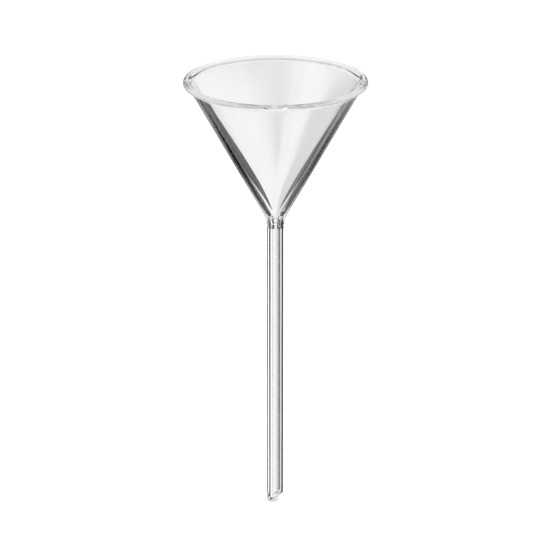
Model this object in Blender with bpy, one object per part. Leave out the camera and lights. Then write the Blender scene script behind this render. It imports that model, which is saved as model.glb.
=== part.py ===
"""Long-stem laboratory filter funnel: a 58 degree glass cone with a beaded rim, sealed to a thick-walled
stem tube whose tip is cut at a slant.

Frame: +Z runs up the funnel's axis, towards the mouth. The origin is on the axis, in the plane where a
50 mm support ring carries the cone. The slanted tip is longest on the -X side.
Units are metres.
"""

import math

import bmesh
import bpy
from mathutils import Vector

# Driving dimensions
RIM_DIAMETER = 0.090
CONE_ANGLE = math.radians(58.0)  # included angle of the outer wall
SEAT_DIAMETER = 0.050  # outside diameter of the cone at the origin's height
STEM_LENGTH = 0.150  # from the corner of cone and stem to the longest point of the tip
STEM_DIAMETER = 0.0088
BORE_DIAMETER = 0.0034

# Walls and edges
BEAD_OVERHANG = 0.0018  # how far the bead stands out past the cone's outer wall
BEAD_HEIGHT = 0.0028
BEAD_ROOT_DROP = 0.0022  # from the bead's mid-height down to where it was drawn out of the wall
RIM_WALL = 0.0022  # level thickness of the wall at the bead's mid-height
THROAT_RISE = 0.0014  # the bore opens into the cone this far above the outside corner
NECK_FILLET = 0.012  # outside, where the cone runs into the stem
THROAT_ROUND = 0.004  # inside, where the bore opens out
SEAL_ABOVE = 0.008  # the seal's reach up the cone from the outside corner
SEAL_BELOW = 0.005  # the seal's reach down the stem
TIP_SLANT = math.radians(30.0)  # the tip's cut, measured from square
BLANK_SPARE = 0.001  # extra tube below the tip before the cut
GAP = 0.0003  # between neighbouring pieces

# Fineness of the turned shapes
SEGMENTS = 64
LIP_STEPS = 5
ARC_STEPS = 5

RIM_RADIUS = RIM_DIAMETER / 2
STEM_RADIUS = STEM_DIAMETER / 2
BORE_RADIUS = BORE_DIAMETER / 2
CONE_SLOPE = math.tan(CONE_ANGLE / 2)  # radius gained for each unit of height


def outer_height(radius):
    """Height at which the cone's outer wall has this radius."""
    return (radius - SEAT_DIAMETER / 2) / CONE_SLOPE


def outer_radius(z):
    """Radius of the cone's outer wall at this height."""
    return SEAT_DIAMETER / 2 + z * CONE_SLOPE


BEAD_Z = outer_height(RIM_RADIUS - BEAD_OVERHANG)  # mid-height of the bead
CORNER_Z = outer_height(STEM_RADIUS)  # outside corner of cone and stem, before its fillet
THROAT_Z = CORNER_Z + THROAT_RISE
MOUTH_RADIUS = outer_radius(BEAD_Z) - RIM_WALL
INNER_SLOPE = (MOUTH_RADIUS - BORE_RADIUS) / (BEAD_Z - THROAT_Z)
TIP_Z = CORNER_Z - STEM_LENGTH
BEAD_ROOT_Z = BEAD_Z - BEAD_ROOT_DROP
SEAL_TOP_Z = CORNER_Z + SEAL_ABOVE
SEAL_BOTTOM_Z = CORNER_Z - SEAL_BELOW


def inner_radius(z):
    """Radius of the cone's inner wall at this height; the wall thickens towards the throat."""
    return BORE_RADIUS + (z - THROAT_Z) * INNER_SLOPE


def arc(centre, radii, start, end, steps):
    """Points (radius, height) on an ellipse's arc from one angle to another, both ends included."""
    points = []
    for i in range(steps + 1):
        angle = start + (end - start) * i / steps
        points.append((centre[0] + radii[0] * math.cos(angle), centre[1] + radii[1] * math.sin(angle)))
    return points


def corner_arc(corner_z, wall_radius, slope, radius, steps):
    """Arc of this radius that eases an upright wall into a cone wall of this slope, from the bottom up.

    Both walls pass through the corner (wall_radius, corner_z), and the arc's centre lies outwards of them.
    """
    lean = math.atan(slope)
    reach = radius * math.tan(lean / 2)
    centre = (wall_radius + radius, corner_z - reach)
    return arc(centre, (radius, radius), math.pi, math.pi - lean, steps)


def rim_bead_outline():
    """The rolled bead: a rounded lip that carries the inner wall up and stands out past the outer wall."""
    half_height = BEAD_HEIGHT / 2
    lip = (RIM_RADIUS - MOUTH_RADIUS) / 3  # the crown between the two roundings stays flat for mating
    inside = arc((MOUTH_RADIUS + lip, BEAD_Z), (lip, half_height), math.pi, math.pi / 2, LIP_STEPS)
    outside = arc((RIM_RADIUS - lip, BEAD_Z), (lip, half_height), math.pi / 2, -math.pi / 2, 2 * LIP_STEPS)
    foot = [(outer_radius(BEAD_ROOT_Z), BEAD_ROOT_Z), (inner_radius(BEAD_ROOT_Z), BEAD_ROOT_Z)]
    return inside + outside + foot


def cone_bowl_outline():
    """The plain cone wall between the bead and the neck seal."""
    top = BEAD_ROOT_Z - GAP
    bottom = SEAL_TOP_Z
    return [
        (inner_radius(bottom), bottom),
        (inner_radius(top), top),
        (outer_radius(top), top),
        (outer_radius(bottom), bottom),
    ]


def neck_seal_outline():
    """The hot seal of cone and tube: a thick collar of glass with a fillet outside and a rounded throat."""
    top = SEAL_TOP_Z - GAP
    throat = corner_arc(THROAT_Z, BORE_RADIUS, INNER_SLOPE, THROAT_ROUND, ARC_STEPS)
    fillet = corner_arc(CORNER_Z, STEM_RADIUS, CONE_SLOPE, NECK_FILLET, ARC_STEPS)
    return (
        [(BORE_RADIUS, SEAL_BOTTOM_Z)]
        + throat
        + [(inner_radius(top), top), (outer_radius(top), top)]
        + fillet[::-1]
        + [(STEM_RADIUS, SEAL_BOTTOM_Z)]
    )


def stem_tube_outline():
    """The straight tube, left square at the bottom until the tip is cut."""
    top = SEAL_BOTTOM_Z - GAP
    bottom = TIP_Z - BLANK_SPARE
    return [(BORE_RADIUS, bottom), (BORE_RADIUS, top), (STEM_RADIUS, top), (STEM_RADIUS, bottom)]


def glass(name, color, roughness):
    """Clear glass with its own tint and surface."""
    material = bpy.data.materials.new(name)
    material.use_nodes = True
    shader = material.node_tree.nodes["Principled BSDF"]
    shader.inputs["Base Color"].default_value = (*color, 1.0)
    shader.inputs["Roughness"].default_value = roughness
    shader.inputs["Metallic"].default_value = 0.0
    shader.inputs["IOR"].default_value = 1.473
    shader.inputs["Transmission Weight"].default_value = 1.0
    material.diffuse_color = (*color, 1.0)
    return material


def turned(outline):
    """Solid of revolution about Z from a closed outline of (radius, height) points."""
    shape = bmesh.new()
    points = [shape.verts.new((radius, 0.0, z)) for radius, z in outline]
    edges = [shape.edges.new((a, b)) for a, b in zip(points, points[1:] + points[:1])]
    bmesh.ops.spin(
        shape,
        geom=points + edges,
        cent=(0.0, 0.0, 0.0),
        axis=(0.0, 0.0, 1.0),
        angle=2 * math.pi,
        steps=SEGMENTS,
        use_merge=True,
    )
    bmesh.ops.recalc_face_normals(shape, faces=shape.faces)
    return shape


def cut_tip(shape):
    """Cuts the tube's end along a slanted plane through its lowest point and closes the ring of wall."""
    normal = Vector((math.sin(TIP_SLANT), 0.0, -math.cos(TIP_SLANT)))
    cut = bmesh.ops.bisect_plane(
        shape,
        geom=shape.verts[:] + shape.edges[:] + shape.faces[:],
        plane_co=Vector((-STEM_RADIUS, 0.0, TIP_Z)),
        plane_no=normal,
        clear_outer=True,
    )
    rings = [item for item in cut["geom_cut"] if isinstance(item, bmesh.types.BMEdge)]
    bmesh.ops.bridge_loops(shape, edges=rings)
    bmesh.ops.recalc_face_normals(shape, faces=shape.faces)


def add_piece(name, shape, material):
    """Turns the working shape into a named object with one material and smooth round sides."""
    mesh = bpy.data.meshes.new(name)
    shape.to_mesh(mesh)
    shape.free()
    mesh.shade_smooth()
    mesh.set_sharp_from_angle(angle=math.radians(35.0))
    mesh.materials.append(material)
    piece = bpy.data.objects.new(name, mesh)
    bpy.context.scene.collection.objects.link(piece)
    return piece


def rim_bead():
    return add_piece("rim_bead", turned(rim_bead_outline()), glass("rim_glass", (0.90, 0.92, 0.91), 0.02))


def cone_bowl():
    return add_piece("cone_bowl", turned(cone_bowl_outline()), glass("bowl_glass", (0.93, 0.95, 0.94), 0.01))


def neck_seal():
    return add_piece("neck_seal", turned(neck_seal_outline()), glass("seal_glass", (0.88, 0.90, 0.89), 0.03))


def stem_tube():
    tube = turned(stem_tube_outline())
    cut_tip(tube)
    return add_piece("stem_tube", tube, glass("stem_glass", (0.91, 0.93, 0.92), 0.01))


def main():
    for leftover in list(bpy.data.objects):
        bpy.data.objects.remove(leftover, do_unlink=True)
    rim_bead()
    cone_bowl()
    neck_seal()
    stem_tube()


main()
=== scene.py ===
"""Long-stem laboratory filter funnel in clear borosilicate glass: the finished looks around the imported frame.

The funnel is one fused piece of glass that four jobs made: a cone drawn out to a plain wall, a rolled bead
round its mouth, a hot seal at its neck and a thick-walled stem tube whose tip is cut at a slant. Each job is
a piece here. All four are cut from one turned surface, so they meet without a gap or a step, and the faces
where they meet carry a clear joint, because light crosses fused glass as if no face were there.

Lengths are in metres and angles in radians unless a name says otherwise. +Z runs up the funnel's axis.
"""

import logging
import math
from dataclasses import dataclass, field, replace
from enum import Enum

import bpy
import numpy as np
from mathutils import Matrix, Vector


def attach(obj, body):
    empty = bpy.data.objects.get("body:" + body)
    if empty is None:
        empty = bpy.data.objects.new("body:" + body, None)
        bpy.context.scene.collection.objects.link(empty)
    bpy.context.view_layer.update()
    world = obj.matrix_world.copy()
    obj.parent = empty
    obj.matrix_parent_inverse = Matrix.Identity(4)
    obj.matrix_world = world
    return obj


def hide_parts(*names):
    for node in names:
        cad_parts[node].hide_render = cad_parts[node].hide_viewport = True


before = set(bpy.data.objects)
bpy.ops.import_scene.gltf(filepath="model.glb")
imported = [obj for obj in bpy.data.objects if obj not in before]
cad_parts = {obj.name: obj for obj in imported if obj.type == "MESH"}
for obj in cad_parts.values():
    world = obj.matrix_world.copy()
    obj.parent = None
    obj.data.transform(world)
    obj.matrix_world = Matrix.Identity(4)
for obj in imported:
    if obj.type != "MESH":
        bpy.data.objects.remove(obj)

MM = 0.001
log = logging.getLogger("funnel")


class Side(Enum):
    """The two sides of the glass wall."""

    INNER = "inner"
    OUTER = "outer"


class Node(Enum):
    """The frame's nodes, which are also the four jobs that made the funnel."""

    RIM = "rim_bead"
    BOWL = "cone_bowl"
    SEAL = "neck_seal"
    STEM = "stem_tube"


def smooth_step(value: np.ndarray, low: float, high: float) -> np.ndarray:
    """Eases from 0 at low to 1 at high: t * t * (3 - 2 t), where t is the clipped share of the way.

    Args:
        value: Where to read the step.
        low: Value at which the step starts.
        high: Value at which the step ends.

    Returns:
        The eased share, one number for each value.
    """
    share = np.clip((value - low) / (high - low), 0.0, 1.0)
    return share * share * (3.0 - 2.0 * share)


def straight(start: tuple[float, float], end: tuple[float, float], steps: int) -> np.ndarray:
    """Points at even steps on the straight line between two (radius, height) points, both ends included."""
    share = np.linspace(0.0, 1.0, steps + 1)[:, None]
    return (1.0 - share) * np.array(start) + share * np.array(end)


def ellipse_arc(
    centre: tuple[float, float], radii: tuple[float, float], start: float, end: float, steps: int
) -> np.ndarray:
    """Points centre + (radii[0] cos a, radii[1] sin a) for angles a at even steps from start to end."""
    angle = np.linspace(start, end, steps + 1)
    return np.stack([centre[0] + radii[0] * np.cos(angle), centre[1] + radii[1] * np.sin(angle)], 1)


def eased_curve(
    start: np.ndarray, start_pull: np.ndarray, end_pull: np.ndarray, end: np.ndarray, steps: int
) -> np.ndarray:
    """Cubic Bezier curve through start and end that leaves and arrives along its two pulls.

    Formula: (1-t)^3 start + 3 (1-t)^2 t start_pull + 3 (1-t) t^2 end_pull + t^3 end, for t from 0 to 1.

    Args:
        start: First point, (radius, height).
        start_pull: Point that the curve first heads for.
        end_pull: Point that the curve last comes from.
        end: Last point.
        steps: Number of equal steps of t.

    Returns:
        The curve's points, both ends included.
    """
    t = np.linspace(0.0, 1.0, steps + 1)[:, None]
    return (
        (1 - t) ** 3 * np.array(start)
        + 3 * (1 - t) ** 2 * t * np.array(start_pull)
        + 3 * (1 - t) * t**2 * np.array(end_pull)
        + t**3 * np.array(end)
    )


@dataclass(frozen=True)
class FunnelForm:
    """The funnel's driving sizes, and the plain walls that every piece shares.

    The fields are radii, heights and angles of the cone, bead, neck and stem, as on a maker's drawing.
    """

    rim_radius: float = 45.0 * MM
    half_angle: float = math.radians(29.0)
    seat_radius: float = 25.0 * MM  # outer radius at height 0, where a support ring carries the cone
    stem_length: float = 150.0 * MM
    stem_radius: float = 4.4 * MM
    bore_radius: float = 1.7 * MM
    bead_overhang: float = 1.8 * MM
    bead_height: float = 2.8 * MM
    bead_root_drop: float = 2.2 * MM
    rim_wall: float = 2.2 * MM
    throat_rise: float = 1.4 * MM
    neck_easing: float = 0.32 * MM  # how far the outside corner is filled by the seal
    easing_full: float = 1.5 * MM  # the easing starts to die out this far from the corner
    easing_gone: float = 4.8 * MM  # and it is gone this far from it
    neck_swell: float = 0.14 * MM  # extra glass just below the corner
    swell_below: float = 1.8 * MM  # the swell is thickest this far below the corner
    swell_width: float = 1.2 * MM
    throat_reach: float = 2.6 * MM  # the bore starts to open this far below the outside corner
    ridge_above: float = 2.0 * MM  # a fine ridge runs round the throat, this far above the corner
    ridge_radius: float = 2.2 * MM
    ridge_depth: float = 0.26 * MM
    ridge_width: float = 0.42 * MM
    seal_above: float = 8.0 * MM
    seal_below: float = 5.0 * MM
    tip_slant: float = math.radians(30.0)
    tip_polish: float = 0.35 * MM  # rounding left by the flame on the tip's edges

    @property
    def slope(self) -> float:
        """Radius that the outer wall gains for each unit of height."""
        return math.tan(self.half_angle)

    @property
    def bead_z(self) -> float:
        """Mid-height of the bead."""
        return (self.rim_radius - self.bead_overhang - self.seat_radius) / self.slope

    @property
    def root_z(self) -> float:
        """Height at which the bead grows out of the wall."""
        return self.bead_z - self.bead_root_drop

    @property
    def corner_z(self) -> float:
        """Height of the outside corner of cone and stem, before it is eased."""
        return (self.stem_radius - self.seat_radius) / self.slope

    @property
    def throat_z(self) -> float:
        """Height at which the bore opens into the cone."""
        return self.corner_z + self.throat_rise

    @property
    def seal_top_z(self) -> float:
        """Upper limit of the hot seal."""
        return self.corner_z + self.seal_above

    @property
    def seal_bottom_z(self) -> float:
        """Lower limit of the hot seal."""
        return self.corner_z - self.seal_below

    @property
    def tip_z(self) -> float:
        """Lowest point of the slanted tip."""
        return self.corner_z - self.stem_length

    @property
    def mouth_radius(self) -> float:
        """Inner radius at the bead's mid-height."""
        return self.outer_radius(self.bead_z) - self.rim_wall

    @property
    def inner_slope(self) -> float:
        """Radius that the inner wall gains for each unit of height; it differs a little from the outer's."""
        return (self.mouth_radius - self.bore_radius) / (self.bead_z - self.throat_z)

    def outer_radius(self, z: float) -> float:
        """Radius of the cone's outer wall at this height."""
        return self.seat_radius + z * self.slope

    def inner_radius(self, z: float) -> float:
        """Radius of the cone's inner wall at this height."""
        return self.bore_radius + (z - self.throat_z) * self.inner_slope

    def throat_radius(self, z: np.ndarray) -> np.ndarray:
        """Inner radius through the seal: the bore eases open to the ridge, and the cone's wall starts above.

        The ridge itself takes ridge_depth exp(-((z - its height) / ridge_width)^2) off the radius.
        """
        ridge_z = self.corner_z + self.ridge_above
        reach = self.ridge_above + self.throat_reach
        opening = smooth_step(z, ridge_z - reach, ridge_z + reach)
        eased = self.bore_radius + 2 * (self.ridge_radius - self.bore_radius) * opening
        wall = np.where(z < ridge_z, eased, np.maximum(self.inner_radius(z), eased))
        return wall - self.ridge_depth * np.exp(-(((z - ridge_z) / self.ridge_width) ** 2))

    def neck_radius(self, z: np.ndarray) -> np.ndarray:
        """Outer radius through the seal: mean + sqrt(half difference^2 + easing^2) of the cone and the stem.

        The easing dies out towards the seal's limits, and a low swell sits just below the corner.
        """
        cone, away = self.outer_radius(z), np.abs(z - self.corner_z)
        easing = self.neck_easing * (1.0 - smooth_step(away, self.easing_full, self.easing_gone))
        corner = (cone + self.stem_radius) / 2 + np.sqrt(((cone - self.stem_radius) / 2) ** 2 + easing**2)
        below = (z - self.corner_z + self.swell_below) / self.swell_width
        return corner + self.neck_swell * np.exp(-(below**2))


@dataclass(frozen=True)
class HandWork:
    """The slight unevenness that blowing, rolling and drawing leave in the wall, as offsets along its normal.

    Each offset is a sum of a few sines of the turning angle and the height, so it closes round the axis, and
    it depends on place alone, so neighbouring pieces share it and still meet.
    """

    form: FunnelForm
    bead_ripple: float = 0.030 * MM
    wall_swell: float = 0.012 * MM
    draw_ripple: float = 0.003 * MM

    def waves(self, angle: np.ndarray, z: np.ndarray, turns: tuple[int, ...], twist: float) -> np.ndarray:
        """Mean of sin(n angle + twist z + n n) over the whole numbers n in turns.

        Args:
            angle: Turning angle about the axis.
            z: Height.
            turns: How many waves each sine has round the axis.
            twist: Change of phase for each unit of height.

        Returns:
            The mean, between -1 and 1, one number for each place.
        """
        sines = [np.sin(n * angle + twist * z * (1 if n % 2 else -1) + n * n) for n in turns]
        return sum(sines) / len(turns)

    def offset(self, side: Side, angle: np.ndarray, z: np.ndarray) -> np.ndarray:
        """How far the real surface stands off the drawn one, outwards from the glass.

        Args:
            side: Which side of the wall the surface is.
            angle: Turning angle about the axis.
            z: Height.

        Returns:
            The offset, one number for each place.
        """
        form = self.form
        near_bead = np.exp(-(((z - form.bead_z) / (1.9 * MM)) ** 2))
        on_wall = smooth_step(z, form.corner_z, form.corner_z + 25 * MM)
        on_wall = on_wall * (1 - smooth_step(z, form.root_z - 6 * MM, form.root_z))
        on_stem = 1 - smooth_step(z, form.corner_z - 12 * MM, form.corner_z)
        bead = self.bead_ripple * near_bead * self.waves(angle, z, (7, 17, 29, 43), 60.0)
        turns = (3, 5, 8, 13) if side is Side.INNER else (2, 7, 11)
        wall = self.wall_swell * on_wall * self.waves(angle, z, turns, 18.0)
        drawn = self.draw_ripple * on_stem * self.waves(angle, z, (2, 3, 5), 70.0)
        return bead + wall + drawn


@dataclass
class GlassSurface:
    """The whole skin of the glass, turned from one outline: up the inside, over the bead, down the outside.

    rows maps a piece to its two stretches of rows: those of the inner and of the outer side. The rim has one
    stretch, because its rows run over the bead, and the stem's two stretches meet round the tip.
    """

    form: FunnelForm
    work: HandWork
    segments: int = 256
    rows_to_crest: int = 20  # rows of the bead, from its root up the inside, that take the inner waves
    even_tip: float = 4.0 * MM  # the hand work fades out over this height above the tip
    slant_reach: float = 14.0 * MM  # the tip's slant is eased in over this height
    points: np.ndarray = field(init=False)
    normals: np.ndarray = field(init=False)
    rows: dict[Node, tuple[slice, ...]] = field(init=False)

    def __post_init__(self) -> None:
        """Works out the outline, turns it, lays the hand work on it and takes its normals."""
        outline = self.join_stretches()
        self.points = self.turn(outline)
        self.normals = self.surface_normals(outline)

    def inside_stretches(self) -> list[np.ndarray]:
        """Outline of the bore, the seal's throat and the bowl's inner wall, from the tip up."""
        form = self.form
        polish = form.tip_polish
        bore = straight((form.bore_radius, form.tip_z + polish), (form.bore_radius, form.seal_bottom_z), 110)
        z = np.linspace(form.seal_bottom_z, form.seal_top_z, 105)
        throat = np.stack([form.throat_radius(z), z], 1)
        wall = straight(
            (form.inner_radius(form.seal_top_z), form.seal_top_z),
            (form.inner_radius(form.root_z), form.root_z), 90,
        )
        return [bore, throat, wall]

    def rim_stretch(self) -> np.ndarray:
        """Outline of the rolled bead: up the inner wall, round the lip, and back under to the outer wall."""
        form = self.form
        half = form.bead_height / 2
        width = form.rim_radius - form.mouth_radius
        crown = np.array((form.mouth_radius + 0.50 * width, form.bead_z + half))
        mouth = np.array((form.mouth_radius, form.bead_z))
        inner_way = np.array((form.inner_slope, 1.0)) / math.hypot(form.inner_slope, 1.0)
        outer_way = np.array((form.slope, 1.0)) / math.hypot(form.slope, 1.0)
        root = np.array((form.outer_radius(form.root_z), form.root_z))
        rise = straight((form.inner_radius(form.root_z), form.root_z), tuple(mouth), 12)
        lip = eased_curve(
            mouth, mouth + 0.55 * half * inner_way, crown - np.array((0.28 * width, 0.0)), crown, 18
        )
        back = ellipse_arc(
            (crown[0], form.bead_z), (form.rim_radius - crown[0], half), math.pi / 2, -math.pi / 2 * 0.82, 44
        )
        under = eased_curve(
            back[-1], back[-1] + 2.4 * (back[-1] - back[-2]), root + 0.9 * MM * outer_way, root, 16
        )
        return np.concatenate([rise[:-1], lip[:-1], back[:-1], under])

    def outside_stretches(self) -> list[np.ndarray]:
        """Outline of the bowl's outer wall, the neck and the stem, from the bead down, and the tip."""
        form = self.form
        polish = form.tip_polish
        wall = straight(
            (form.outer_radius(form.root_z), form.root_z),
            (form.outer_radius(form.seal_top_z), form.seal_top_z), 90,
        )
        z = np.linspace(form.seal_top_z, form.seal_bottom_z, 79)
        neck = np.stack([form.neck_radius(z), z], 1)
        tube = straight((form.stem_radius, form.seal_bottom_z), (form.stem_radius, form.tip_z + polish), 110)
        outer_edge = ellipse_arc(
            (form.stem_radius - polish, form.tip_z + polish), (polish, polish), 0.0, -math.pi / 2, 8
        )
        face = straight(
            (form.stem_radius - polish, form.tip_z), (form.bore_radius + polish, form.tip_z), 6
        )
        inner_edge = ellipse_arc(
            (form.bore_radius + polish, form.tip_z + polish), (polish, polish), -math.pi / 2, -math.pi, 8
        )
        end = np.concatenate([tube[:-1], outer_edge[:-1], face[:-1], inner_edge])
        return [wall, neck, end]

    def join_stretches(self) -> np.ndarray:
        """Joins all stretches into one outline and notes each piece's rows; shared end rows are kept once."""
        inside, rim, outside = self.inside_stretches(), self.rim_stretch(), self.outside_stretches()
        stretches = [*inside, rim, *outside]
        spans, start = [], 0
        for stretch in stretches:
            spans.append(slice(start, start + len(stretch)))
            start += len(stretch) - 1
        bore, throat, wall_in, bead, wall_out, neck, tube = spans
        self.rows = {
            Node.RIM: (bead,),
            Node.BOWL: (wall_in, wall_out),
            Node.SEAL: (throat, neck),
            Node.STEM: (bore, tube),
        }
        parts = [stretch[:-1] for stretch in stretches[:-1]] + [stretches[-1]]
        return np.concatenate(parts)

    def turn(self, outline: np.ndarray) -> np.ndarray:
        """Turns the outline about Z, moved along its own normal by the hand work, and slants the tip.

        A place is (r cos a, r sin a, z). Near the tip, z rises by (x + stem radius) tan(slant), eased in over
        the tube's last stretch, so that the end face lies in the slanted plane.

        Args:
            outline: (radius, height) points of the whole outline.

        Returns:
            Places as an array of rows by segments by 3.
        """
        form = self.form
        angle = np.linspace(0.0, 2 * math.pi, self.segments, endpoint=False)[None, :]
        along = np.gradient(outline, axis=0)
        along /= np.linalg.norm(along, axis=1)[:, None]
        outwards = np.stack([-along[:, 1], along[:, 0]], 1)
        heights = np.repeat(outline[:, 1][:, None], self.segments, 1)
        crest = self.rows[Node.RIM][0].start + self.rows_to_crest
        inner = np.arange(len(outline))[:, None] < crest
        shift = np.where(
            inner, self.work.offset(Side.INNER, angle, heights), self.work.offset(Side.OUTER, angle, heights)
        )
        clear_of_tip = smooth_step(heights, form.tip_z, form.tip_z + self.even_tip)
        shift = shift * clear_of_tip
        radius = outline[:, 0][:, None] + shift * outwards[:, 0][:, None]
        z = heights + shift * outwards[:, 1][:, None]
        x, y = radius * np.cos(angle), radius * np.sin(angle)
        share = np.clip(1.0 - (z - form.tip_z) / self.slant_reach, 0.0, 1.0)
        z = z + share * (x + form.stem_radius) * math.tan(form.tip_slant)
        return np.stack([x, y, z], -1)

    def surface_normals(self, outline: np.ndarray) -> np.ndarray:
        """Unit normals of the turned surface: the cross product of its slopes along and round the outline."""
        steps = np.linalg.norm(np.diff(outline, axis=0), axis=1)
        distance = np.concatenate([[0.0], np.cumsum(steps)])
        down = np.gradient(self.points, distance, axis=0)
        round_about = np.roll(self.points, -1, 1) - np.roll(self.points, 1, 1)
        normal = np.cross(down, round_about)
        return normal / np.linalg.norm(normal, axis=-1, keepdims=True)

    def piece_rows(self, node: Node) -> tuple[np.ndarray, np.ndarray, np.ndarray]:
        """The closed ring of rows that bounds one piece.

        Args:
            node: Which piece.

        Returns:
            Its places, its normals, and the indexes of the steps between rows that are joints, where the ring
            crosses from one side of the wall to the other.
        """
        spans = self.rows[node]
        places = np.concatenate([self.points[span] for span in spans])
        normals = np.concatenate([self.normals[span] for span in spans])
        if node is Node.RIM:
            return places, normals, np.array([len(places) - 1])
        first = spans[0].stop - spans[0].start
        if node is Node.STEM:
            places, normals = places[:-1], normals[:-1]  # the last row is the first one, round the tip
            return places, normals, np.array([first - 1])
        return places, normals, np.array([first - 1, len(places) - 1])


def ring_mesh(name: str, places: np.ndarray, normals: np.ndarray, joints: np.ndarray) -> bpy.types.Mesh:
    """Mesh of a closed ring of rows: quads between each row and the next, and between last and first.

    Vertex (i, j) has index i * segments + j, and the quad after it is (i, j), (i+1, j), (i+1, j+1), (i, j+1),
    with both indexes wrapping round. The quads of a joint take the second material and flat normals.

    Args:
        name: Name of the mesh.
        places: Rows by segments by 3.
        normals: The same shape, unit vectors out of the glass.
        joints: Rows after which the quads are a joint.

    Returns:
        The mesh, smooth, with the given normals.
    """
    rows, segments = places.shape[:2]
    i, j = np.meshgrid(np.arange(rows), np.arange(segments), indexing="ij")
    next_i, next_j = (i + 1) % rows, (j + 1) % segments
    quads = np.stack(
        [i * segments + j, next_i * segments + j, next_i * segments + next_j, i * segments + next_j], -1
    )
    faces = quads.reshape(-1, 4)
    corner_normals = normals.reshape(-1, 3)[faces].reshape(rows, segments, 4, 3)
    corners = places.reshape(-1, 3)[quads[joints]]
    flat = np.cross(corners[:, :, 1] - corners[:, :, 0], corners[:, :, 3] - corners[:, :, 0])
    flat /= np.linalg.norm(flat, axis=-1, keepdims=True)
    corner_normals[joints] = flat[:, :, None, :]
    is_joint = np.zeros((rows, segments), np.int32)
    is_joint[joints] = 1
    mesh = bpy.data.meshes.new(name)
    mesh.vertices.add(rows * segments)
    mesh.vertices.foreach_set("co", places.astype(np.float32).ravel())
    mesh.loops.add(faces.size)
    mesh.loops.foreach_set("vertex_index", faces.astype(np.int32).ravel())
    mesh.polygons.add(len(faces))
    mesh.polygons.foreach_set("loop_start", np.arange(0, faces.size, 4, dtype=np.int32))
    mesh.polygons.foreach_set("material_index", is_joint.ravel())
    mesh.update(calc_edges=True)
    mesh.shade_smooth()
    mesh.normals_split_custom_set(corner_normals.reshape(-1, 3).tolist())
    mesh.validate()
    return mesh


@dataclass(frozen=True)
class GlassFinish:
    """Clear glass: its tint, gloss, and the fine ripple that the flame and the drawing left."""

    name: str
    tint: tuple[float, float, float]
    deep_tint: tuple[float, float, float]
    gloss_low: float
    gloss_high: float
    grain: tuple[float, float, float]  # how many ripples to the metre along X, Y and Z
    ripple_depth: float
    ior: float = 1.473

    def build(self) -> bpy.types.Material:
        """Makes the material: stretched noise drives tint, roughness and bump."""
        material = bpy.data.materials.new(self.name)
        material.use_nodes = True
        tree = material.node_tree
        shader = tree.nodes["Principled BSDF"]
        place = tree.nodes.new("ShaderNodeTexCoord")
        stretch = tree.nodes.new("ShaderNodeMapping")
        stretch.inputs["Scale"].default_value = self.grain
        tree.links.new(place.outputs["Object"], stretch.inputs["Vector"])
        ripple = tree.nodes.new("ShaderNodeTexNoise")
        ripple.inputs["Scale"].default_value = 1.0
        ripple.inputs["Detail"].default_value = 2.0
        ripple.inputs["Roughness"].default_value = 0.4
        tree.links.new(stretch.outputs["Vector"], ripple.inputs["Vector"])
        tint = tree.nodes.new("ShaderNodeMix")
        tint.data_type = "RGBA"
        tint.inputs["A"].default_value = (*self.tint, 1.0)
        tint.inputs["B"].default_value = (*self.deep_tint, 1.0)
        tree.links.new(ripple.outputs["Fac"], tint.inputs["Factor"])
        tree.links.new(tint.outputs["Result"], shader.inputs["Base Color"])
        gloss = tree.nodes.new("ShaderNodeMapRange")
        gloss.inputs["To Min"].default_value = self.gloss_low
        gloss.inputs["To Max"].default_value = self.gloss_high
        tree.links.new(ripple.outputs["Fac"], gloss.inputs["Value"])
        tree.links.new(gloss.outputs["Result"], shader.inputs["Roughness"])
        bump = tree.nodes.new("ShaderNodeBump")
        bump.inputs["Strength"].default_value = 1.0
        bump.inputs["Distance"].default_value = self.ripple_depth
        tree.links.new(ripple.outputs["Fac"], bump.inputs["Height"])
        tree.links.new(bump.outputs["Normal"], shader.inputs["Normal"])
        shader.inputs["IOR"].default_value = self.ior
        shader.inputs["Transmission Weight"].default_value = 1.0
        return material


@dataclass(frozen=True)
class FusedJoint:
    """The face where two pieces are fused: nothing to see, as light crosses it unbent."""

    name: str = "fused_joint"

    def build(self) -> bpy.types.Material:
        """Makes the material: fully clear, by its alpha."""
        material = bpy.data.materials.new(self.name)
        material.use_nodes = True
        shader = material.node_tree.nodes["Principled BSDF"]
        shader.inputs["Base Color"].default_value = (1.0, 1.0, 1.0, 1.0)
        shader.inputs["Alpha"].default_value = 0.0
        return material


@dataclass
class GlassPiece:
    """One job on the funnel: its mesh cut from the shared surface, and its dress."""

    node: Node
    slot: str
    finish: GlassFinish

    def build(self, surface: GlassSurface, joint: bpy.types.Material) -> bpy.types.Object:
        """Makes the piece's object and ties it to the frame.

        Args:
            surface: The whole skin of the glass.
            joint: Material of the fused faces.

        Returns:
            The piece, at the origin, with its place in its mesh.
        """
        name = f"{self.node.value}_glass"
        mesh = ring_mesh(name, *surface.piece_rows(self.node))
        mesh.materials.append(self.finish.build())
        mesh.materials.append(joint)
        piece = bpy.data.objects.new(name, mesh)
        bpy.context.scene.collection.objects.link(piece)
        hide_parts(self.node.value)
        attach(piece, "root")
        log.info("%s: %d faces, slot %s", name, len(mesh.polygons), self.slot)
        return piece


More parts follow.
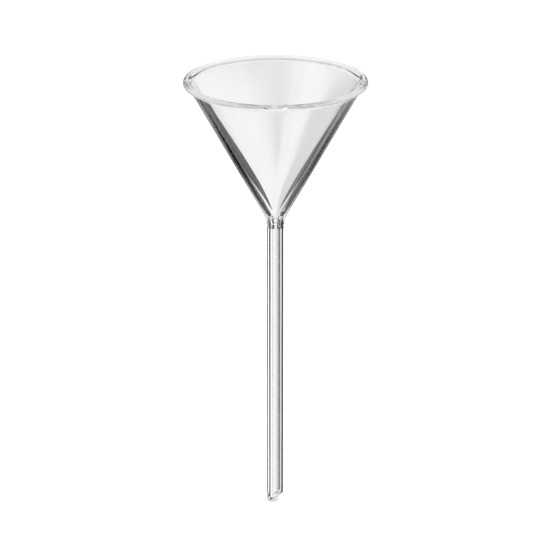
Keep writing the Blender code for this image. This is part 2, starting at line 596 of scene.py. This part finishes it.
@dataclass
class Funnel:
    """The whole funnel: its sizes, its surface and its four pieces."""

    form: FunnelForm = field(default_factory=FunnelForm)

    def pieces(self) -> list[GlassPiece]:
        """The four jobs, each with its slot and its glass."""
        clear, edge = (1.0, 1.0, 0.998), (0.985, 0.99, 0.982)
        return [
            GlassPiece(Node.RIM, "rim_glass", GlassFinish(
                "rolled_rim_glass", clear, edge, 0.0, 0.012, (420.0, 420.0, 300.0), 0.012 * MM)),
            GlassPiece(Node.BOWL, "bowl_glass", GlassFinish(
                "blown_wall_glass", clear, edge, 0.0, 0.006, (70.0, 70.0, 22.0), 0.003 * MM)),
            GlassPiece(Node.SEAL, "seal_glass", GlassFinish(
                "flame_seal_glass", clear, edge, 0.0, 0.010, (300.0, 300.0, 520.0), 0.010 * MM)),
            GlassPiece(Node.STEM, "stem_glass", GlassFinish(
                "drawn_tube_glass", clear, edge, 0.0, 0.006, (500.0, 500.0, 14.0), 0.0015 * MM)),
        ]

    def build(self) -> list[bpy.types.Object]:
        """Makes every piece from the one surface."""
        surface = GlassSurface(self.form, HandWork(self.form))
        joint = FusedJoint().build()
        return [piece.build(surface, joint) for piece in self.pieces()]


@dataclass(frozen=True)
class Panel:
    """A patch of the studio's tent, as seen from the funnel, with soft edges.

    Azimuth 0 is straight behind the funnel and grows to the camera's right; elevation 0 is level. A panel
    that leans has azimuth limits that move by lean degrees for each degree of elevation above its top edge.
    """

    name: str
    azimuth: tuple[float, float]  # degrees
    elevation: tuple[float, float]  # degrees
    level: float
    softness: float = 4.0  # degrees
    lean: float = 0.0

    def cover(self, azimuth: np.ndarray, elevation: np.ndarray) -> np.ndarray:
        """Share of the panel at each direction: the product of four eased edges.

        Args:
            azimuth: Degrees, from -180 to 180.
            elevation: Degrees, from -90 to 90.

        Returns:
            1 on the panel, 0 off it, eased across its edges.
        """
        upright = azimuth - self.lean * (elevation - self.elevation[1])
        share = np.ones_like(azimuth)
        for value, (low, high) in ((upright, self.azimuth), (elevation, self.elevation)):
            share = share * smooth_step(value, low - self.softness, low + self.softness)
            share = share * (1.0 - smooth_step(value, high - self.softness, high + self.softness))
        return share

    def mirrored(self) -> "Panel":
        """The same panel on the other side of the camera's axis."""
        low, high = self.azimuth
        return replace(self, name=f"{self.name}_mirrored", azimuth=(-high, -low), lean=-self.lean)


def tie_to_rig(item: bpy.types.Object, camera: bpy.types.Object) -> None:
    """Puts a part of the lighting in the scene: it turns with the camera, and only the glass sees it.

    Args:
        item: The tent or a card, in its place.
        camera: The camera, already in place.
    """
    bpy.context.scene.collection.objects.link(item)
    item.visible_camera = False
    item.visible_diffuse = False
    item.visible_shadow = False
    bpy.context.view_layer.update()
    item.parent = camera
    item.matrix_parent_inverse = camera.matrix_world.inverted()


def glowing(name: str) -> tuple[bpy.types.Material, bpy.types.Node]:
    """Makes a material that does nothing but glow.

    Args:
        name: Name of the material.

    Returns:
        The material and its node for the glow.
    """
    material = bpy.data.materials.new(name)
    material.use_nodes = True
    tree = material.node_tree
    tree.nodes.clear()
    glow = tree.nodes.new("ShaderNodeEmission")
    output = tree.nodes.new("ShaderNodeOutputMaterial")
    tree.links.new(glow.outputs["Emission"], output.inputs["Surface"])
    return material, glow


@dataclass
class LightTent:
    """A wide tent of light round the funnel, with a white sweep behind it and dark cards at its sides.

    Glass shows nothing but what is round it, so the tent is what draws its edges. It turns with the camera,
    as a table-top rig does, and only the glass sees it.
    """

    centre: Vector
    radius: float = 3.0
    columns: int = 480
    rows: int = 180
    walls: float = 0.8
    white: float = 0.95
    black: float = 0.0
    neck_elevation: float = -18.0  # where a straight look past the neck meets the tent
    rim_elevation: float = -15.0  # the same, past the front of the bead

    def backdrop(self) -> list[Panel]:
        """The plain white sweep behind the funnel, the roof, and the unlit corners over the camera."""
        return [
            Panel("roof", (-200, 200), (45, 95), 0.7, 8.0),
            Panel("over_camera_left", (-200, -130), (40, 70), self.black, 6.0),
            Panel("over_camera_right", (130, 200), (40, 70), self.black, 6.0),
            Panel("sweep", (-30, 30), (-65, 45), self.white),
        ]

    def low_cards(self) -> list[Panel]:
        """Black cards low at both sides, which carry the cone's dark bands down to the neck.

        A ray that grazes the cone's wall leaves it ever further to the side and down, so the cards lean out.
        """
        return [
            Panel("left_card", (-28, -12), (-60, -27), self.black, 1.5, 1.3),
            Panel("right_card", (13, 25), (-60, -27), self.black, 1.5, -1.3),
        ]

    def bead_cards(self) -> list[Panel]:
        """Black cards above and beside the middle that line the bead and the cone's outer edges."""
        upper = Panel("upper_card", (6, 32), (6, 28), self.black, 2.0)
        level = Panel("level_card", (15, 42), (-12, 2), self.black, 2.0)
        back = Panel("back_card", (-14, 14), (28, 50), self.black, 2.0)
        return [upper, upper.mirrored(), level, level.mirrored(), back]

    def cone_stripes(self) -> list[Panel]:
        """Soft upright stripes of the backdrop, seen straight through the cone's two walls."""
        band = (self.neck_elevation, self.rim_elevation)
        above = (self.rim_elevation, self.rim_elevation + 6.0)
        return [
            Panel("stripe_grey", (2.5, 10), band, 0.7, 0.5),
            Panel("stripe_middle", (-0.3, 0.5), band, 0.8, 0.3),
            Panel("mouth_backdrop", (-12, 12), above, 0.85, 0.5),
            Panel("mouth_stripe", (0.5, 2), above, self.white, 0.3),
        ]

    def stem_strips(self) -> list[Panel]:
        """Strips behind and beside the stem, whose edges the tube's glass draws out into fine upright lines.

        The tube turns the picture over, and it shows the right side more than the left. So a black line, a
        white gap and a black edge stand on the right, and one black edge between two whites on the left.
        """
        band = (self.neck_elevation - 10.0, self.neck_elevation + 0.2)
        tall = (band[0], band[1] + 6.0)
        return [
            Panel("stem_backdrop", (-32, 22), band, self.white, 0.5),
            Panel("stem_shade", (3, 20), band, 0.7, 0.5),
            Panel("stem_line", (22, 38), tall, self.black, 0.3),
            Panel("stem_gap", (38, 46), band, 1.8, 0.3),
            Panel("stem_edge", (46, 105), tall, self.black, 0.3),
            Panel("stem_far_edge", (-50, -32), tall, self.black, 0.3),
            Panel("stem_far_wing", (-95, -50), band, 1.5, 0.3),
        ]

    def panels(self) -> list[Panel]:
        """Every panel, in the order they are laid over each other."""
        behind, low, beside = self.backdrop(), self.low_cards(), self.bead_cards()
        return [*behind, *low, *beside, *self.cone_stripes(), *self.stem_strips()]

    def levels(self, azimuth: np.ndarray, elevation: np.ndarray) -> np.ndarray:
        """Brightness by direction: the walls' level, then each panel laid over what came before."""
        level = np.full_like(azimuth, self.walls)
        for panel in self.panels():
            share = panel.cover(azimuth, elevation)
            level = level * (1.0 - share) + panel.level * share
        return level

    def mesh(self) -> bpy.types.Mesh:
        """Sphere of columns by rows about the centre, with the level at each vertex.

        A vertex is centre + radius (sin a cos e, cos a cos e, sin e), for azimuth a from -180 to 180 degrees,
        whose first and last columns are one, and for elevation e from just above one pole to just below the
        other, each closed by one many-sided face.
        """
        share = np.linspace(-1.0, 1.0, self.columns, endpoint=False)[None, :]
        azimuth = 180.0 * (0.5 * share + 0.5 * share**3)  # finest straight behind the funnel
        elevation = np.linspace(-89.5, 89.5, self.rows)[:, None]
        azimuth, elevation = np.broadcast_arrays(azimuth, elevation)
        a, e = np.radians(azimuth), np.radians(elevation)
        directions = np.stack([np.sin(a) * np.cos(e), np.cos(a) * np.cos(e), np.sin(e)], -1)
        places = directions * self.radius + np.array(self.centre)
        i, j = np.meshgrid(np.arange(self.rows - 1), np.arange(self.columns), indexing="ij")
        next_j = (j + 1) % self.columns
        quads = np.stack([
            i * self.columns + j, i * self.columns + next_j,
            (i + 1) * self.columns + next_j, (i + 1) * self.columns + j,
        ], -1).reshape(-1, 4)
        floor_pole = np.arange(self.columns)[::-1]
        roof_pole = np.arange(self.columns) + (self.rows - 1) * self.columns
        mesh = bpy.data.meshes.new("light_tent")
        mesh.from_pydata(
            places.reshape(-1, 3).tolist(), [], [*quads.tolist(), floor_pole.tolist(), roof_pole.tolist()]
        )
        level = mesh.attributes.new("level", "FLOAT", "POINT")
        level.data.foreach_set("value", self.levels(azimuth, elevation).astype(np.float32).ravel())
        return mesh

    def cloth(self) -> bpy.types.Material:
        """Material of the tent: it glows with the level at each place."""
        material, glow = glowing("tent_cloth")
        glow.inputs["Color"].default_value = (1.0, 1.0, 0.995, 1.0)
        tree = material.node_tree
        level = tree.nodes.new("ShaderNodeAttribute")
        level.attribute_name = "level"
        tree.links.new(level.outputs["Fac"], glow.inputs["Strength"])
        material.cycles.emission_sampling = "NONE"
        return material

    def build(self, camera: bpy.types.Object) -> bpy.types.Object:
        """Puts the tent up round the funnel and ties it to the camera's rig.

        Args:
            camera: The camera, already in place.

        Returns:
            The tent's object.
        """
        mesh = self.mesh()
        mesh.shade_smooth()
        mesh.materials.append(self.cloth())
        tent = bpy.data.objects.new("light_tent", mesh)
        tie_to_rig(tent, camera)
        return tent


@dataclass(frozen=True)
class HungCard:
    """A card hung close behind one side of the cone, its inner edge alongside the cone's wall.

    It hangs above the looks through most of the stem, so it draws the cone's dark band and darkens the stem
    only just below the neck.
    """

    side: int  # -1 for the left, 1 for the right
    clear_of_neck: float  # level gap between the card's inner edge and the neck as the camera sees it
    clear_of_bead: float  # the same, at the bead's root
    level: float
    width: float
    behind: float = 120.0 * MM
    sag: float = 10.0 * MM  # its outer lower corner hangs this much lower than the inner one

    def build(self, form: FunnelForm, pitch: float, camera: bpy.types.Object) -> bpy.types.Object:
        """Hangs the card and ties it to the camera's rig.

        A straight look past the axis drops by behind times the tangent of the camera's pitch on its way to
        the card, so the inner edge is the cone's wall lowered by that much and moved out by the gaps.

        Args:
            form: The funnel's dimensions.
            pitch: The camera's pitch, in radians.
            camera: The camera, already in place.

        Returns:
            The card's object.
        """
        drop = self.behind * math.tan(pitch)
        low, high = form.throat_z - drop, form.root_z - drop
        inner_low = form.stem_radius + self.clear_of_neck
        inner_high = form.outer_radius(form.root_z) + self.clear_of_bead
        outer_low, outer_high = inner_low + self.width, inner_high + self.width
        outline = [(inner_low, low), (outer_low, low - self.sag), (outer_high, high), (inner_high, high)]
        mesh = bpy.data.meshes.new("hung_card")
        mesh.from_pydata([(self.side * x, self.behind, z) for x, z in outline], [], [(0, 1, 2, 3)])
        material, glow = glowing("card_cloth")
        glow.inputs["Strength"].default_value = self.level
        mesh.materials.append(material)
        card = bpy.data.objects.new("hung_card_left" if self.side < 0 else "hung_card_right", mesh)
        tie_to_rig(card, camera)
        return card


@dataclass
class Studio:
    """The table, the tent, the camera and the air of the studio."""

    form: FunnelForm
    floor_half: float = 12.0
    floor_gap: float = 0.3 * MM  # between the floor and the tip
    distance: float = 1.6
    pitch: float = math.radians(20.05)
    lens: float = 212.1
    aim_below_bead: float = 99.3 * MM
    aim_x: float = -0.27 * MM

    def camera(self) -> bpy.types.Object:
        """Camera at the given pitch, looking at a point on the funnel's axis from the given distance."""
        data = bpy.data.cameras.new("camera")
        data.lens = self.lens
        data.sensor_width = 36.0
        camera = bpy.data.objects.new("camera", data)
        bpy.context.scene.collection.objects.link(camera)
        aim_z = self.form.bead_z - self.aim_below_bead
        camera.location = (
            self.aim_x, -self.distance * math.cos(self.pitch), aim_z + self.distance * math.sin(self.pitch)
        )
        camera.rotation_euler = (math.pi / 2 - self.pitch, 0.0, 0.0)
        bpy.context.scene.camera = camera
        return camera

    def floor(self) -> bpy.types.Object:
        """Plain pale floor just under the tip, wide enough to fill every view."""
        half, z = self.floor_half, self.form.tip_z - self.floor_gap
        corners = [(-half, -half, z), (half, -half, z), (half, half, z), (-half, half, z)]
        mesh = bpy.data.meshes.new("floor")
        mesh.from_pydata(corners, [], [(0, 1, 2, 3)])
        material = bpy.data.materials.new("pale_floor")
        material.use_nodes = True
        shader = material.node_tree.nodes["Principled BSDF"]
        shader.inputs["Base Color"].default_value = (0.88, 0.88, 0.88, 1.0)
        shader.inputs["Roughness"].default_value = 0.9
        shader.inputs["Specular IOR Level"].default_value = 0.0
        mesh.materials.append(material)
        floor = bpy.data.objects.new("floor", mesh)
        bpy.context.scene.collection.objects.link(floor)
        floor.visible_glossy = False
        floor.visible_transmission = False
        return floor

    def air(self) -> None:
        """Even white light from all round, bright enough to wash the floor out to white."""
        world = bpy.data.worlds.new("studio_air")
        bpy.context.scene.world = world
        world.use_nodes = True
        background = world.node_tree.nodes["Background"]
        background.inputs["Color"].default_value = (1.0, 1.0, 1.0, 1.0)
        background.inputs["Strength"].default_value = 2.0

    def look_past(self, camera: bpy.types.Object, place: Vector, tent: LightTent) -> float:
        """Elevation, from the tent's centre, at which a straight look past a place meets the tent.

        The look is start + t way, and it meets the sphere at the larger t for which its distance from the
        centre is the radius.

        Args:
            camera: The camera.
            place: The place that the look passes.
            tent: The tent.

        Returns:
            Degrees, below level where negative.
        """
        start = camera.location - tent.centre
        way = (place - camera.location).normalized()
        along = start.dot(way)
        reach = -along + math.sqrt(along**2 - start.length_squared + tent.radius**2)
        return math.degrees(math.asin((start + reach * way).z / tent.radius))

    def hung_cards(self) -> list[HungCard]:
        """The two cards behind the cone; the right one hangs further out, is narrower and is less black."""
        return [
            HungCard(-1, clear_of_neck=10.0 * MM, clear_of_bead=19.0 * MM, level=0.0, width=80.0 * MM),
            HungCard(1, clear_of_neck=14.0 * MM, clear_of_bead=27.0 * MM, level=0.05, width=55.0 * MM),
        ]

    def light_paths(self) -> None:
        """Enough bounces for light that the wall guides from the bead down to the tip."""
        scene = bpy.context.scene
        scene.view_settings.view_transform = "Standard"
        scene.cycles.max_bounces = 96
        scene.cycles.glossy_bounces = 96
        scene.cycles.transmission_bounces = 96
        scene.cycles.transparent_max_bounces = 48

    def build(self) -> None:
        """Sets up the whole studio."""
        camera = self.camera()
        self.floor()
        self.air()
        self.light_paths()
        form = self.form
        tent = LightTent(Vector((0.0, 0.0, (form.tip_z + form.bead_z) / 2)))
        tent.neck_elevation = self.look_past(camera, Vector((0.0, 0.0, form.corner_z)), tent)
        tent.rim_elevation = self.look_past(camera, Vector((0.0, -form.rim_radius, form.bead_z)), tent)
        log.info("tent: neck at %.1f and rim at %.1f degrees", tent.neck_elevation, tent.rim_elevation)
        tent.build(camera)
        for card in self.hung_cards():
            card.build(form, self.pitch, camera)


def main() -> None:
    """Builds the funnel and its studio, in order."""
    logging.basicConfig(level=logging.INFO, format="%(name)s: %(message)s")
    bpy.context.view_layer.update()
    funnel = Funnel()
    pieces = funnel.build()
    log.info("funnel: %d pieces", len(pieces))
    Studio(funnel.form).build()


if __name__ == "__main__":
    main()
